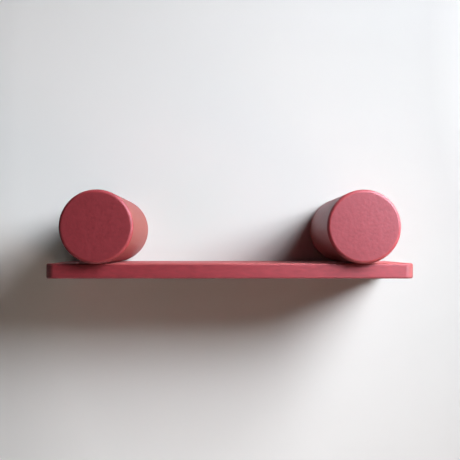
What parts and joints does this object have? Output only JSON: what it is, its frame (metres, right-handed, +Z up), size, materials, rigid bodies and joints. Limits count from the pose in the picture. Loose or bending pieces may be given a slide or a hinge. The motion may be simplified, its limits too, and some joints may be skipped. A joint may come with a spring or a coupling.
{
  "type": "floating shelf",
  "caption": "Wall shelf: a thin board with rounded front corners hung beneath turned cylinders that slide over rods on hidden wall plates.",
  "frame": {"origin": "centre of the pattern of four wall screw slots, on the wall plane, level with the axes of the cylinders", "axes": "+X along the wall, to the right as seen from the front; +Y into the wall; +Z up. The front faces -Y"},
  "size_m": [0.45, 0.153, 0.1076],
  "materials": {
    "lacquer": "matte rose-red lacquer with a fine grained texture, over fibreboard and turned wood",
    "plated_steel": "zinc plated, satin, with fine turning and rolling marks",
    "black_steel": "black oxide, satin",
    "brass": "plain turned brass"
  },
  "bodies": {
    "root": {"shelf_board": "lacquer", "left_cylinder": "lacquer", "right_cylinder": "lacquer", "left_wall_plate": "plated_steel", "right_wall_plate": "plated_steel", "left_support_rod": "plated_steel", "right_support_rod": "plated_steel", "left_rod_screw": "black_steel", "right_rod_screw": "black_steel", "left_rear_board_screw": "black_steel", "right_rear_board_screw": "black_steel", "left_front_board_screw": "black_steel", "right_front_board_screw": "black_steel", "left_rear_insert": "brass", "right_rear_insert": "brass", "left_front_insert": "brass", "right_front_insert": "brass", "left_set_screw": "black_steel", "right_set_screw": "black_steel", "left_set_screw_insert": "brass", "right_set_screw_insert": "brass"}
  },
  "joints": []
}
